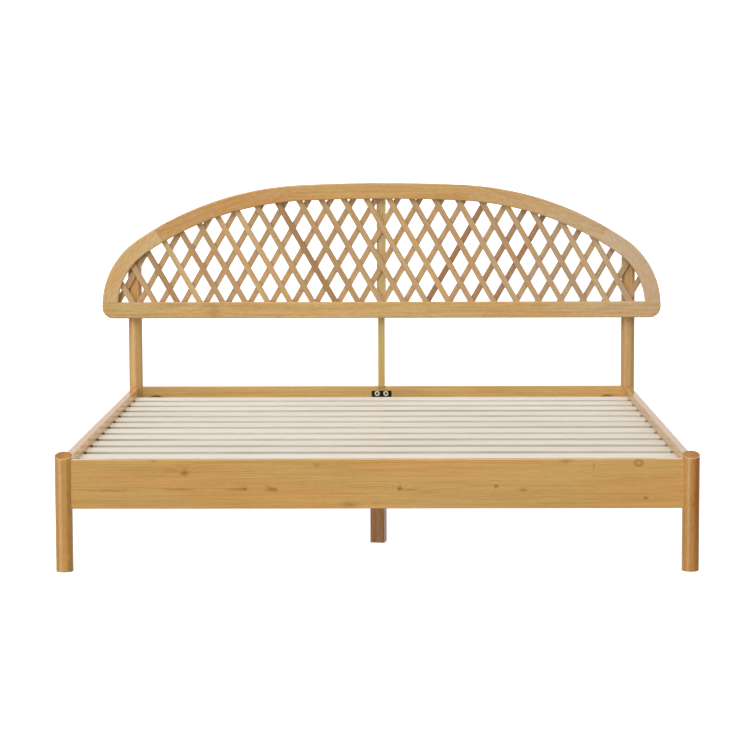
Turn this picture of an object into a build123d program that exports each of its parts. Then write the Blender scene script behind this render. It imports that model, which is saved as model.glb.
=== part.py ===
from build123d import *
import math
import os

os.makedirs("parts", exist_ok=True)

# A bed frame for a king mattress, in millimetres. X runs across the bed, Y from the foot
# to the head and Z up. The origin is on the floor, under the middle of the bed.

# Posts: four round posts on the corners of a rectangle
post_spacing_x = 1872.0
post_spacing_y = 2072.0
post_diameter = 52.0
foot_post_height = 350.0
foot_post_slant = 20.0
post_edge = 2.0

# Rails: four boards on edge, each end let into a shallow housing in a post
rail_height = 148.0
rail_thickness = 24.0
rail_floor_gap = 190.0
rail_edge = 2.0
housing_depth = 5.0
housing_clearance = 0.2

# Rail joints: a bolt fixed in the post, with a half-moon washer and a nut in a round pocket
bolt_diameter = 8.0
bolt_clearance = 0.2
bolt_tip_cover = 9.0
bolt_overrun = 3.0
end_bolt_height = 78.0
side_bolt_height = 46.0
pocket_diameter = 76.0
pocket_wall = 6.0
pocket_from_rail_end = 55.0
washer_thickness = 5.0
washer_width = 14.0
washer_clearance = 0.2
nut_across_flats = 13.0
nut_height = 6.5

# Deck: slats across the bed on two ledgers and a centre beam
deck_drop = 30.0
slat_count = 12
slat_width = 100.0
slat_thickness = 18.0
slat_edge = 3.0
slat_end_gap = 0.5
foot_slat_gap = 70.0
head_slat_gap = 99.0
ledger_width = 25.0
ledger_height = 30.0
ledger_post_gap = 5.0
ledger_edge = 1.0

# Centre support: a beam on two square legs, hung at each end in a steel bracket
beam_width = 40.0
beam_height = 60.0
beam_edge = 1.5
leg_width = 45.0
leg_spacing = 1026.0
leg_turn = -11.0
leg_edge = 2.0
leg_bolt_grip = 30.0
bracket_width = 75.0
bracket_plate = 3.0
bracket_rise = 31.0
bracket_corner = 3.0
bracket_cradle = 40.0
bracket_lip = 7.0
bracket_clearance = 0.3
bracket_bolt_diameter = 6.0
bracket_bolt_grip = 17.0
bracket_bolt_spacing = 33.0
bracket_bolt_drop = 10.0
bracket_bolt_head_diameter = 19.0
bracket_bolt_head_height = 4.0
bracket_bolt_socket = 8.0
bracket_bolt_socket_depth = 2.5

# Headboard frame: a bottom rail and an arch of five pieces, drawn as tangent arcs
headboard_overhang = 120.0
headboard_height = 510.0
headboard_floor_gap = 601.0
headboard_thickness = 28.0
headboard_seat_depth = 4.0
rim_width = 60.0
rim_edge = 5.0
bottom_rail_height = 62.0
corner_radius = 42.0
end_straight = 2.0
shoulder_radius = 305.0
crown_angle = 2.8
shoulder_angle = 34.2
crown_board_width = 664.0
haunch_joint_angle = 30.4
dowel_diameter = 8.0
dowel_length = 40.0
dowel_clearance = 0.1
dowel_edge_inset = 16.0
dowel_rebate_inset = 12.0

# Lattice: two layers of sticks, leaning opposite ways, in a rebate behind the frame
rebate_width = 12.0
stick_width = 20.0
stick_thickness = 8.0
stick_lean = 30.0
stick_end_clearance = 0.5
front_stick_pitch = 85.6
front_stick_shift = -2.6
rear_stick_pitch = 83.75
rear_stick_shift = -34.4

# Headboard support: a mullion behind the lattice and a strut down to the head rail
mullion_width = 35.0
mullion_thickness = 12.0
mullion_top_cover = 16.0
strut_width = 26.0
strut_depth = 28.0
strut_lap = 31.0
support_edge = 1.0

# Headboard fixings: a bolt and a screw through each head post
headboard_bolt_height = 25.0
headboard_bolt_head_diameter = 13.0
headboard_bolt_head_height = 8.0
headboard_bolt_counterbore = 16.0
headboard_bolt_recess = 10.0
insert_diameter = 12.0
insert_length = 16.0
insert_clearance = 0.1
post_screw_inset = 9.0
post_screw_cover = 12.0
post_screw_bore = 10.0

# Wood screws: countersunk, in two lengths
screw_diameter = 4.5
screw_head_diameter = 9.0
screw_head_angle = 90.0
screw_clearance = 0.15
screw_point = 3.0
short_screw_length = 30.0
long_screw_length = 40.0
mullion_screw_spacing = 18.0
mullion_screw_end = 14.0
mullion_screw_inset = 5.0
strut_screw_end = 14.0
ledger_screw_count = 6

# Worked-out places
left = -1
right = 1
foot = -1
head = 1
quarter_turn = 90.0
hexagon_sides = 6
post_x = post_spacing_x / 2
post_y = post_spacing_y / 2
post_radius = post_diameter / 2
housing_floor = post_radius - housing_depth
rail_top = rail_floor_gap + rail_height
rail_middle = rail_floor_gap + rail_height / 2
rail_inner_x = post_x - rail_thickness / 2
rail_inner_y = post_y - rail_thickness / 2
pocket_depth = rail_thickness - pocket_wall
pocket_radius = pocket_diameter / 2
pocket_reach = housing_floor + pocket_from_rail_end
bolt_inset = pocket_wall / 2
bolt_hole_radius = bolt_diameter / 2 + bolt_clearance
bolt_tip = post_radius - bolt_tip_cover
washer_seat = pocket_reach - pocket_radius
nut_seat = washer_seat + washer_thickness
end_bolt_z = rail_floor_gap + end_bolt_height
side_bolt_z = rail_floor_gap + side_bolt_height
slat_top = rail_top - deck_drop
slat_bottom = slat_top - slat_thickness
slat_reach = rail_inner_x - slat_end_gap
first_slat_y = foot_slat_gap + slat_width / 2 - rail_inner_y
last_slat_y = rail_inner_y - head_slat_gap - slat_width / 2
slat_pitch = (last_slat_y - first_slat_y) / (slat_count - 1)
slat_places = [first_slat_y + slat_pitch * index for index in range(slat_count)]
ledger_reach = post_y - post_radius - ledger_post_gap
ledger_middle_x = rail_inner_x - ledger_width / 2
ledger_middle_z = slat_bottom - ledger_height / 2
beam_bottom = slat_bottom - beam_height
beam_reach = rail_inner_y - bracket_plate
bracket_top = slat_bottom + bracket_rise
bracket_bolt_z = bracket_top - bracket_bolt_drop
headboard_back = post_y - post_radius + headboard_seat_depth
headboard_middle = headboard_back - headboard_thickness / 2
headboard_top = headboard_floor_gap + headboard_height
bottom_rail_top = headboard_floor_gap + bottom_rail_height
half_width = post_x + headboard_overhang
spring_height = corner_radius + end_straight
solid_rim = rim_width - rebate_width
rebate_depth = 2 * stick_thickness
strut_top = headboard_floor_gap + strut_lap
screw_radius = screw_diameter / 2
screw_head_radius = screw_head_diameter / 2
screw_hole_radius = screw_radius + screw_clearance
screw_sink_radius = screw_head_radius + screw_clearance
screw_head_height = (screw_head_radius - screw_radius) / math.tan(math.radians(screw_head_angle / 2))

# The crown and haunch radii that make the arch meet its width and its height
crown_turn = math.radians(crown_angle)
shoulder_turn = math.radians(shoulder_angle)
haunch_run = math.sin(shoulder_turn) - math.sin(crown_turn)
haunch_fall = math.cos(crown_turn) - math.cos(shoulder_turn)
crown_fall = 1 - math.cos(crown_turn)
arch_run = half_width - shoulder_radius * (1 - math.sin(shoulder_turn))
arch_fall = headboard_height - spring_height - shoulder_radius * math.cos(shoulder_turn)
arch_share = math.sin(crown_turn) * haunch_fall - haunch_run * crown_fall
crown_radius = (arch_run * haunch_fall - arch_fall * haunch_run) / arch_share
haunch_radius = (arch_fall * math.sin(crown_turn) - arch_run * crown_fall) / arch_share

# The arcs of the arch from its middle to one end, each as its centre, its radius and its last turn
crown_end_x = crown_radius * math.sin(crown_turn)
crown_end_z = headboard_top - crown_radius * crown_fall
haunch_x = crown_end_x - haunch_radius * math.sin(crown_turn)
haunch_z = crown_end_z - haunch_radius * math.cos(crown_turn)
arch_arcs = [
    (0, headboard_top - crown_radius, crown_radius, crown_turn),
    (haunch_x, haunch_z, haunch_radius, shoulder_turn),
    (half_width - shoulder_radius, headboard_floor_gap + spring_height, shoulder_radius, math.pi / 2),
]


def arch_at(x):
    """The height of the arch's outer edge at one place across the bed, and its turn from level there."""
    for centre_x, centre_z, radius, last_turn in arch_arcs:
        turn = math.asin((x - centre_x) / radius)
        if turn <= last_turn:
            return centre_z + radius * math.cos(turn), turn


def end_joint(side, end):
    """The axis of the bolt between one post and the foot or head rail, from the post inwards."""
    origin = (side * post_x, end * (post_y - bolt_inset), end_bolt_z)
    return Plane(origin=origin, x_dir=(0, -end, 0), z_dir=(-side, 0, 0))


def side_joint(side, end):
    """The axis of the bolt between one post and a side rail, from the post inwards."""
    origin = (side * (post_x - bolt_inset), end * post_y, side_bolt_z)
    return Plane(origin=origin, x_dir=(-side, 0, 0), z_dir=(0, -end, 0))


def cut_rail_seats(side, end):
    """Cut the two rail housings of one post, and the holes for their bolts."""
    centre = (side * post_x, end * post_y, rail_middle)
    seats = [
        Plane(origin=centre, x_dir=(0, -end, 0), z_dir=(-side, 0, 0)),
        Plane(origin=centre, x_dir=(-side, 0, 0), z_dir=(0, -end, 0)),
    ]
    with Locations(*[seat.offset(housing_floor) for seat in seats]):
        Box(
            rail_thickness + 2 * housing_clearance,
            rail_height + 2 * housing_clearance,
            post_radius,
            align=(Align.CENTER, Align.CENTER, Align.MIN),
            mode=Mode.SUBTRACT,
        )
    joints = [end_joint(side, end), side_joint(side, end)]
    with Locations(*[joint.offset(-bolt_tip - bolt_clearance) for joint in joints]):
        Cylinder(
            bolt_hole_radius,
            bolt_tip + bolt_clearance + post_radius,
            align=(Align.CENTER, Align.CENTER, Align.MIN),
            mode=Mode.SUBTRACT,
        )


def cut_bolt_pockets(joints):
    """Cut the bolt hole in the end of a rail, and the round pocket that it opens into."""
    with Locations(*joints):
        Cylinder(
            bolt_hole_radius,
            pocket_reach,
            align=(Align.CENTER, Align.CENTER, Align.MIN),
            mode=Mode.SUBTRACT,
        )
    mouths = []
    for joint in joints:
        mouth = joint.from_local_coords((pocket_depth / 2, 0, pocket_reach))
        mouths.append(Plane(origin=mouth, z_dir=joint.x_dir))
    with Locations(*mouths):
        Cylinder(
            pocket_radius,
            pocket_depth,
            align=(Align.CENTER, Align.CENTER, Align.MAX),
            mode=Mode.SUBTRACT,
        )


def add_screws(places, length):
    """Add a countersunk screw at each place, with its head flush and its point inwards."""
    with Locations(*places):
        Cone(
            screw_radius,
            screw_head_radius,
            screw_head_height,
            align=(Align.CENTER, Align.CENTER, Align.MAX),
        )
        Cylinder(
            screw_radius,
            length - screw_point,
            align=(Align.CENTER, Align.CENTER, Align.MAX),
        )
    with Locations(*[place.offset(screw_point - length) for place in places]):
        Cone(
            0,
            screw_radius,
            screw_point,
            align=(Align.CENTER, Align.CENTER, Align.MAX),
        )


def cut_screw_holes(places, length):
    """Cut the hole of each screw, countersunk where it enters."""
    with Locations(*places):
        CounterSinkHole(
            screw_hole_radius,
            screw_sink_radius,
            length + screw_clearance,
            screw_head_angle,
        )


# Foot posts: round, with the top cut on a slant that faces the foot of the bed
with BuildPart() as foot_post_left:
    with BuildSketch(Plane(origin=(-post_x, -post_y, 0))):
        Circle(post_radius)
    extrude(amount=foot_post_height + post_diameter)
    slant = Plane(origin=(-post_x, -post_y, foot_post_height)).rotated((foot_post_slant, 0, 0))
    split(bisect_by=slant, keep=Keep.BOTTOM)
    fillet(foot_post_left.edges().sort_by(Axis.Z)[-1], post_edge)
    chamfer(foot_post_left.edges().sort_by(Axis.Z)[0], post_edge)
    cut_rail_seats(left, foot)
foot_post_left.part.label = "foot_post_left"
export_step(foot_post_left.part, "parts/foot_post_left.step")

with BuildPart() as foot_post_right:
    mirror(foot_post_left.part, about=Plane.YZ)
foot_post_right.part.label = "foot_post_right"
export_step(foot_post_right.part, "parts/foot_post_right.step")

# Head posts: taller, with a flat seat for the headboard on the side that faces the bed
post_back = post_y + post_radius
arch_edge_z, arch_edge_turn = arch_at(post_x)
post_screw_z = arch_edge_z - (solid_rim - post_screw_inset) / math.cos(arch_edge_turn)
head_post_height = post_screw_z + post_screw_cover
post_screw_head_y = headboard_back + long_screw_length - headboard_thickness / 2
post_screw_sink = post_back - post_screw_head_y
post_screw_places = [
    Plane(origin=(side * post_x, post_screw_head_y, post_screw_z), z_dir=(0, 1, 0))
    for side in (left, right)
]
headboard_bolt_z = headboard_floor_gap + headboard_bolt_height
headboard_bolt_places = [
    Plane(origin=(side * post_x, headboard_back, headboard_bolt_z), z_dir=(0, 1, 0))
    for side in (left, right)
]

with BuildPart() as head_post_left:
    with BuildSketch(Plane(origin=(-post_x, post_y, 0))):
        Circle(post_radius)
    extrude(amount=head_post_height)
    chamfer(head_post_left.edges().filter_by(GeomType.CIRCLE), post_edge)
    cut_rail_seats(left, head)
    with Locations((-post_x, headboard_back, headboard_floor_gap)):
        Box(
            post_diameter,
            post_diameter,
            head_post_height,
            align=(Align.CENTER, Align.MAX, Align.MIN),
            mode=Mode.SUBTRACT,
        )
    with Locations(*[place.offset(post_back - headboard_back) for place in headboard_bolt_places]):
        CounterBoreHole(bolt_hole_radius, headboard_bolt_counterbore / 2, headboard_bolt_recess)
    with Locations(*[place.offset(post_screw_sink) for place in post_screw_places]):
        Hole(post_screw_bore / 2, post_screw_sink)
    cut_screw_holes(post_screw_places, long_screw_length)
head_post_left.part.label = "head_post_left"
export_step(head_post_left.part, "parts/head_post_left.step")

with BuildPart() as head_post_right:
    mirror(head_post_left.part, about=Plane.YZ)
head_post_right.part.label = "head_post_right"
export_step(head_post_right.part, "parts/head_post_right.step")

# Foot and head rails: between the posts, with a bolt pocket near each end
end_rail_length = 2 * (post_x - housing_floor)
bracket_bolt_places = [
    Plane(
        origin=(side * bracket_bolt_spacing / 2, end * beam_reach, bracket_bolt_z),
        z_dir=(0, -end, 0),
    )
    for end in (foot, head)
    for side in (left, right)
]
bracket_bolt_reach = bracket_plate + bracket_bolt_grip
bracket_hole_radius = bracket_bolt_diameter / 2 + bolt_clearance

with BuildPart() as foot_rail:
    with Locations((0, -post_y, rail_middle)):
        Box(end_rail_length, rail_thickness, rail_height)
    fillet(foot_rail.edges().filter_by(Axis.X), rail_edge)
    cut_bolt_pockets([end_joint(left, foot), end_joint(right, foot)])
    with Locations(*bracket_bolt_places):
        Hole(bracket_hole_radius, bracket_bolt_reach + bolt_clearance)
foot_rail.part.label = "foot_rail"
export_step(foot_rail.part, "parts/foot_rail.step")

strut_dowel_y = (rail_inner_y + headboard_back + strut_depth) / 2
strut_dowel_place = (0, strut_dowel_y, rail_top)
dowel_radius = dowel_diameter / 2
dowel_hole_radius = dowel_radius + dowel_clearance
dowel_hole_length = dowel_length + 2 * dowel_clearance

with BuildPart() as head_rail:
    mirror(foot_rail.part, about=Plane.XZ)
    with Locations(strut_dowel_place):
        Cylinder(dowel_hole_radius, dowel_hole_length, mode=Mode.SUBTRACT)
head_rail.part.label = "head_rail"
export_step(head_rail.part, "parts/head_rail.step")

# Side rails: the same board, lengthwise, carrying the ledgers that hold up the slats
side_rail_length = 2 * (post_y - housing_floor)
slat_gaps = [place + slat_pitch / 2 for place in slat_places[:-1]]
ledger_screw_stride = (len(slat_gaps) - 1) / (ledger_screw_count - 1)
ledger_screw_places = [
    Plane(
        origin=(
            side * (rail_inner_x - ledger_width),
            slat_gaps[round(index * ledger_screw_stride)],
            ledger_middle_z,
        ),
        z_dir=(-side, 0, 0),
    )
    for side in (left, right)
    for index in range(ledger_screw_count)
]

with BuildPart() as side_rail_left:
    with Locations((-post_x, 0, rail_middle)):
        Box(rail_thickness, side_rail_length, rail_height)
    fillet(side_rail_left.edges().filter_by(Axis.Y), rail_edge)
    cut_bolt_pockets([side_joint(left, foot), side_joint(left, head)])
    cut_screw_holes(ledger_screw_places, long_screw_length)
side_rail_left.part.label = "side_rail_left"
export_step(side_rail_left.part, "parts/side_rail_left.step")

with BuildPart() as side_rail_right:
    mirror(side_rail_left.part, about=Plane.YZ)
side_rail_right.part.label = "side_rail_right"
export_step(side_rail_right.part, "parts/side_rail_right.step")

# Ledgers: strips screwed along the inside of the side rails, under the ends of the slats
slat_screw_places = [
    Plane(origin=(side * ledger_middle_x, place, slat_top))
    for place in slat_places
    for side in (left, right)
]

with BuildPart() as ledger_left:
    with Locations((-ledger_middle_x, 0, ledger_middle_z)):
        Box(ledger_width, 2 * ledger_reach, ledger_height)
    chamfer(ledger_left.edges().filter_by(Axis.Y), ledger_edge)
    cut_screw_holes(ledger_screw_places, long_screw_length)
    cut_screw_holes(slat_screw_places, short_screw_length)
ledger_left.part.label = "ledger_left"
export_step(ledger_left.part, "parts/ledger_left.step")

with BuildPart() as ledger_right:
    mirror(ledger_left.part, about=Plane.YZ)
ledger_right.part.label = "ledger_right"
export_step(ledger_right.part, "parts/ledger_right.step")

# Rail bolts, half-moon washers and nuts: one of each at both ends of every rail
rail_joints = [
    joint(side, end)
    for joint in (end_joint, side_joint)
    for side in (left, right)
    for end in (foot, head)
]
bolt_length = bolt_tip + nut_seat + nut_height + bolt_overrun

with BuildPart() as rail_bolts:
    with Locations(*[joint.offset(-bolt_tip) for joint in rail_joints]):
        Cylinder(
            bolt_diameter / 2,
            bolt_length,
            align=(Align.CENTER, Align.CENTER, Align.MIN),
        )
rail_bolts.part.label = "rail_bolts"
export_step(rail_bolts.part, "parts/rail_bolts.step")

with BuildPart() as rail_washers:
    for joint in rail_joints:
        pocket_centre = joint.from_local_coords((0, 0, pocket_reach))
        with BuildSketch(Plane(origin=pocket_centre, x_dir=-joint.z_dir, z_dir=joint.x_dir)):
            Circle(pocket_radius - washer_clearance)
            with Locations((pocket_reach - nut_seat, 0)):
                Rectangle(
                    pocket_diameter,
                    pocket_diameter,
                    align=(Align.MIN, Align.CENTER),
                    mode=Mode.INTERSECT,
                )
        extrude(amount=washer_width / 2, both=True)
    with Locations(*rail_joints):
        Cylinder(
            bolt_hole_radius,
            pocket_reach,
            align=(Align.CENTER, Align.CENTER, Align.MIN),
            mode=Mode.SUBTRACT,
        )
rail_washers.part.label = "rail_washers"
export_step(rail_washers.part, "parts/rail_washers.step")

with BuildPart() as rail_nuts:
    with BuildSketch(*[joint.offset(nut_seat) for joint in rail_joints]):
        RegularPolygon(nut_across_flats / 2, hexagon_sides, major_radius=False)
        Circle(bolt_hole_radius, mode=Mode.SUBTRACT)
    extrude(amount=nut_height)
rail_nuts.part.label = "rail_nuts"
export_step(rail_nuts.part, "parts/rail_nuts.step")

# Centre beam: a bar under the middle of the slats
leg_places = [(0, end * leg_spacing / 2, beam_bottom) for end in (foot, head)]

with BuildPart() as centre_beam:
    with Locations((0, 0, slat_bottom - beam_height / 2)):
        Box(beam_width, 2 * beam_reach, beam_height)
    chamfer(centre_beam.edges().filter_by(Axis.Y), beam_edge)
    with Locations(*leg_places):
        Cylinder(bolt_hole_radius, 2 * (leg_bolt_grip + bolt_clearance), mode=Mode.SUBTRACT)
centre_beam.part.label = "centre_beam"
export_step(centre_beam.part, "parts/centre_beam.step")

# Centre legs: square legs that screw up into the beam and stop a little off square
for place, name in zip(leg_places, ("centre_leg_foot_end", "centre_leg_head_end")):
    with BuildPart() as centre_leg:
        with BuildSketch(Plane(origin=(place[0], place[1], 0)).rotated((0, 0, leg_turn))):
            Rectangle(leg_width, leg_width)
        extrude(amount=beam_bottom)
        chamfer(centre_leg.edges().filter_by(Axis.Z), leg_edge)
        with Locations(place):
            Cylinder(bolt_hole_radius, 2 * (leg_bolt_grip + bolt_clearance), mode=Mode.SUBTRACT)
    centre_leg.part.label = name
    export_step(centre_leg.part, f"parts/{name}.step")

with BuildPart() as leg_bolts:
    with Locations(*leg_places):
        Cylinder(bolt_diameter / 2, 2 * leg_bolt_grip)
leg_bolts.part.label = "leg_bolts"
export_step(leg_bolts.part, "parts/leg_bolts.step")

# Beam brackets: bent steel hangers bolted to the inner faces of the foot and head rails
cradle_half_width = beam_width / 2 + bracket_clearance
bracket_bottom = beam_bottom - bracket_plate
bracket_height = bracket_top - bracket_bottom

with BuildPart() as head_bracket:
    with BuildSketch(Plane.XZ.offset(-rail_inner_y)):
        with Locations((0, bracket_bottom)):
            RectangleRounded(
                bracket_width,
                bracket_height,
                bracket_corner,
                align=(Align.CENTER, Align.MIN),
            )
    extrude(amount=bracket_plate)
    with BuildSketch(Plane.XZ.offset(-beam_reach)):
        with Locations((0, bracket_bottom)):
            Rectangle(
                2 * (cradle_half_width + bracket_plate),
                bracket_plate + beam_height - bracket_lip,
                align=(Align.CENTER, Align.MIN),
            )
        with Locations((0, beam_bottom)):
            Rectangle(
                2 * cradle_half_width,
                beam_height,
                align=(Align.CENTER, Align.MIN),
                mode=Mode.SUBTRACT,
            )
    extrude(amount=bracket_cradle)
    with Locations(*bracket_bolt_places):
        Hole(bracket_hole_radius, bracket_bolt_reach)
head_bracket.part.label = "head_bracket"
export_step(head_bracket.part, "parts/head_bracket.step")

with BuildPart() as foot_bracket:
    mirror(head_bracket.part, about=Plane.XZ)
foot_bracket.part.label = "foot_bracket"
export_step(foot_bracket.part, "parts/foot_bracket.step")

with BuildPart() as bracket_bolts:
    with Locations(*bracket_bolt_places):
        Cylinder(
            bracket_bolt_head_diameter / 2,
            bracket_bolt_head_height,
            align=(Align.CENTER, Align.CENTER, Align.MIN),
        )
        Cylinder(
            bracket_bolt_diameter / 2,
            bracket_bolt_reach,
            align=(Align.CENTER, Align.CENTER, Align.MAX),
        )
    with BuildSketch(*[place.offset(bracket_bolt_head_height) for place in bracket_bolt_places]):
        RegularPolygon(bracket_bolt_socket / 2, hexagon_sides, major_radius=False)
    extrude(amount=-bracket_bolt_socket_depth, mode=Mode.SUBTRACT)
bracket_bolts.part.label = "bracket_bolts"
export_step(bracket_bolts.part, "parts/bracket_bolts.step")

# Slats: pale boards across the deck, each screwed to both ledgers
for index, place in enumerate(slat_places):
    with BuildPart() as slat:
        with Locations((0, place, slat_top - slat_thickness / 2)):
            Box(2 * slat_reach, slat_width, slat_thickness)
        fillet(slat.edges().filter_by(Axis.X), slat_edge)
        cut_screw_holes(slat_screw_places, short_screw_length)
    slat.part.label = f"slat_{index + 1:02d}"
    export_step(slat.part, f"parts/slat_{index + 1:02d}.step")

with BuildPart() as slat_screws:
    add_screws(slat_screw_places, short_screw_length)
slat_screws.part.label = "slat_screws"
export_step(slat_screws.part, "parts/slat_screws.step")

with BuildPart() as ledger_screws:
    add_screws(ledger_screw_places, long_screw_length)
ledger_screws.part.label = "ledger_screws"
export_step(ledger_screws.part, "parts/ledger_screws.step")

# Headboard outline: half of it is drawn from the crown down, then mirrored
headboard_plane = Plane.XZ.offset(-headboard_back)

with BuildSketch(headboard_plane) as outline:
    with BuildLine():
        crown = JernArc((0, headboard_top), (1, 0), crown_radius, -crown_angle)
        haunch = JernArc(crown @ 1, crown % 1, haunch_radius, crown_angle - shoulder_angle)
        shoulder = JernArc(haunch @ 1, haunch % 1, shoulder_radius, shoulder_angle - quarter_turn)
        end_line = Line(shoulder @ 1, (half_width, headboard_floor_gap + corner_radius))
        corner = JernArc(end_line @ 1, (0, -1), corner_radius, -quarter_turn)
        Line(corner @ 1, (0, headboard_floor_gap))
        mirror(about=Plane.YZ)
    make_face()


def inset_outline(inset, floor):
    """The outline drawn in by one distance all round, kept above a level floor."""
    add(outline.sketch_local)
    offset(amount=-inset, kind=Kind.INTERSECTION)
    with Locations((0, floor)):
        Rectangle(
            2 * half_width,
            headboard_height,
            align=(Align.CENTER, Align.MIN),
            mode=Mode.INTERSECT,
        )


with BuildSketch(headboard_plane) as opening:
    inset_outline(rim_width, bottom_rail_top)

with BuildSketch(headboard_plane) as rebate:
    inset_outline(solid_rim, bottom_rail_top - rebate_width)

with BuildSketch(headboard_plane) as lattice_field:
    inset_outline(
        solid_rim + stick_end_clearance,
        bottom_rail_top - rebate_width + stick_end_clearance,
    )

# The whole frame, before it is divided into its bottom rail and the pieces of its arch
with BuildPart() as headboard_blank:
    extrude(outline.sketch, amount=headboard_thickness)
    extrude(opening.sketch, amount=headboard_thickness, mode=Mode.SUBTRACT)
    fillet(headboard_blank.edges().group_by(Axis.Y)[0], rim_edge)
    extrude(rebate.sketch, amount=rebate_depth, mode=Mode.SUBTRACT)

# Arch joints: square to the rim, each given by the outer point and the outward direction
crown_joint_x = crown_board_width / 2
crown_joint_z, crown_joint_turn = arch_at(crown_joint_x)
haunch_joint_turn = math.radians(haunch_joint_angle)
haunch_joint_x = haunch_x + haunch_radius * math.sin(haunch_joint_turn)
haunch_joint_z = haunch_z + haunch_radius * math.cos(haunch_joint_turn)
dowel_insets = [(-dowel_edge_inset, 0), (dowel_rebate_inset - solid_rim, 0)]


def arch_joint(side, x, z, turn):
    """A joint across the rim: X points outwards, Z runs along the arch."""
    return Plane(
        origin=(side * x, headboard_middle, z),
        x_dir=(side * math.sin(turn), 0, math.cos(turn)),
        z_dir=(side * math.cos(turn), 0, -math.sin(turn)),
    )


def joint_ends(joint):
    """The two ends of a long line along a joint, outside and inside the rim."""
    outer = joint.origin + joint.x_dir * 2 * rim_width
    inner = joint.origin - joint.x_dir * 2 * rim_width
    return (outer.X, outer.Z), (inner.X, inner.Z)


def cut_dowel_holes(joints):
    """Cut the pair of dowel holes at each joint."""
    with Locations(*joints):
        with Locations(*dowel_insets):
            Cylinder(dowel_hole_radius, dowel_hole_length, mode=Mode.SUBTRACT)


def keep_between(points):
    """Keep the stretch of the frame inside a polygon seen from the front."""
    with BuildSketch(headboard_plane) as window:
        with BuildLine():
            Polyline(*points, close=True)
        make_face()
    extrude(window.sketch, amount=headboard_thickness, mode=Mode.INTERSECT)


crown_joints = [
    arch_joint(side, crown_joint_x, crown_joint_z, crown_joint_turn)
    for side in (left, right)
]
haunch_joints = [
    arch_joint(side, haunch_joint_x, haunch_joint_z, haunch_joint_turn)
    for side in (left, right)
]
foot_joints = [
    arch_joint(side, half_width, bottom_rail_top, math.pi / 2)
    for side in (left, right)
]

# Places of the screws that hold the mullion and the strut, from behind
strut_screw_place = Plane(
    origin=(0, headboard_back + strut_depth, strut_top - strut_screw_end),
    z_dir=(0, 1, 0),
)
mullion_top = headboard_top - mullion_top_cover
mullion_screw_heights = [
    bottom_rail_top - rebate_width - mullion_screw_inset,
    mullion_top - mullion_screw_end,
]
mullion_screw_places = [
    Plane(
        origin=(side * mullion_screw_spacing / 2, headboard_back + mullion_thickness, z),
        z_dir=(0, 1, 0),
    )
    for z in mullion_screw_heights
    for side in (left, right)
]

# Arch: a crown, two haunches and two sides, each cut from its own board
with BuildPart() as arch_crown:
    add(headboard_blank.part)
    left_outer, left_inner = joint_ends(crown_joints[0])
    right_outer, right_inner = joint_ends(crown_joints[1])
    keep_between([left_outer, right_outer, right_inner, left_inner])
    cut_dowel_holes(crown_joints)
    cut_screw_holes(mullion_screw_places, short_screw_length)
arch_crown.part.label = "arch_crown"
export_step(arch_crown.part, "parts/arch_crown.step")

with BuildPart() as arch_haunch_left:
    add(headboard_blank.part)
    upper_outer, upper_inner = joint_ends(crown_joints[0])
    lower_outer, lower_inner = joint_ends(haunch_joints[0])
    keep_between([upper_outer, lower_outer, lower_inner, upper_inner])
    cut_dowel_holes([crown_joints[0], haunch_joints[0]])
arch_haunch_left.part.label = "arch_haunch_left"
export_step(arch_haunch_left.part, "parts/arch_haunch_left.step")

with BuildPart() as arch_side_left:
    add(headboard_blank.part)
    upper_outer, upper_inner = joint_ends(haunch_joints[0])
    lower_outer = (-2 * half_width, bottom_rail_top)
    lower_inner = (upper_inner[0], bottom_rail_top)
    keep_between([upper_outer, lower_outer, lower_inner, upper_inner])
    cut_dowel_holes([haunch_joints[0], foot_joints[0]])
    cut_screw_holes(post_screw_places, long_screw_length)
arch_side_left.part.label = "arch_side_left"
export_step(arch_side_left.part, "parts/arch_side_left.step")

with BuildPart() as arch_haunch_right:
    mirror(arch_haunch_left.part, about=Plane.YZ)
arch_haunch_right.part.label = "arch_haunch_right"
export_step(arch_haunch_right.part, "parts/arch_haunch_right.step")

with BuildPart() as arch_side_right:
    mirror(arch_side_left.part, about=Plane.YZ)
arch_side_right.part.label = "arch_side_right"
export_step(arch_side_right.part, "parts/arch_side_right.step")

with BuildPart() as arch_dowels:
    with Locations(*crown_joints, *haunch_joints, *foot_joints):
        with Locations(*dowel_insets):
            Cylinder(dowel_radius, dowel_length)
arch_dowels.part.label = "arch_dowels"
export_step(arch_dowels.part, "parts/arch_dowels.step")

# Headboard bottom rail: full width, under both ends of the arch
with BuildPart() as headboard_bottom_rail:
    add(headboard_blank.part)
    keep_between([
        (-half_width, headboard_floor_gap),
        (half_width, headboard_floor_gap),
        (half_width, bottom_rail_top),
        (-half_width, bottom_rail_top),
    ])
    cut_dowel_holes(foot_joints)
    cut_screw_holes([strut_screw_place], long_screw_length)
    cut_screw_holes(mullion_screw_places, short_screw_length)
    with Locations(*headboard_bolt_places):
        Hole(insert_diameter / 2 + insert_clearance, insert_length + insert_clearance)
headboard_bottom_rail.part.label = "headboard_bottom_rail"
export_step(headboard_bottom_rail.part, "parts/headboard_bottom_rail.step")

# Lattice: the front sticks lean one way over the full field and the rear ones the other way
stick_turn = math.radians(stick_lean)
stick_reach = 2 * headboard_height / math.cos(stick_turn)
stick_field = half_width - rim_width + stick_width / 2 / math.cos(stick_turn)
front_stick_count = 2 * int(stick_field / front_stick_pitch) + 1
rear_stick_count = 2 * int(stick_field / rear_stick_pitch)

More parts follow.
